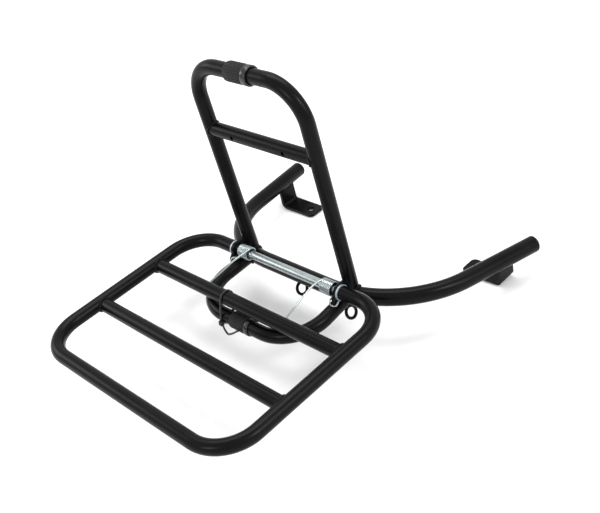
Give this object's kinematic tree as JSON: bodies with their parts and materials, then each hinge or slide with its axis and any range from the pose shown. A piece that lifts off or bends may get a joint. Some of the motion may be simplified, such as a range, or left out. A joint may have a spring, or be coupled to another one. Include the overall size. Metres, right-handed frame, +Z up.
{
  "type": "folding luggage rack",
  "caption": "Bent-tube rear luggage rack: a sprung platform folds up on a hinge rod against a backrest hoop; two splayed arms carry bolt-on brackets.",
  "frame": {"origin": "midway between the two mounting hole axes, on the underside of the bracket tabs", "axes": "+X to the right along the hinge, +Y forward along the mounting arms, +Z up; the open platform lies towards -Y"},
  "size_m": [0.4136, 0.4721, 0.3271],
  "materials": {
    "powder_coat": "satin black powder coat",
    "zinc": "bright zinc plate, slightly blue",
    "rubber": "matt moulded rubber",
    "nylon": "moulded black nylon"
  },
  "bodies": {
    "frame": {"main_tube": "powder_coat", "backrest_hoop": "powder_coat", "backrest_crossbar": "powder_coat", "support_hoop": "powder_coat", "hinge_lug_left": "powder_coat", "hinge_lug_right": "powder_coat", "mounting_bracket_left": "powder_coat", "mounting_bracket_right": "powder_coat", "strap_eyelet_middle": "powder_coat", "strap_eyelet_right": "powder_coat", "arm_plug_left": "rubber", "arm_plug_right": "rubber", "backrest_bumper": "rubber", "support_bumper": "rubber", "hinge_rod": "zinc", "spacer_tube": "zinc", "hinge_washer_left": "zinc", "hinge_washer_right": "zinc", "cable_tie": "nylon"},
    "platform": {"platform_loop": "powder_coat", "platform_bar_1": "powder_coat", "platform_bar_2": "powder_coat", "hinge_bush_left": "nylon", "hinge_bush_right": "nylon", "torsion_spring_left": "zinc", "torsion_spring_right": "zinc"}
  },
  "joints": [
    {"name": "platform_fold", "type": "hinge", "parent": "frame", "child": "platform", "pos_m": [0, -0.173, 0.0665], "axis": [-1, 0, 0], "range_deg": [-2.8, 87.2], "deforming": ["torsion_spring_left", "torsion_spring_right", "cable_tie"]}
  ]
}
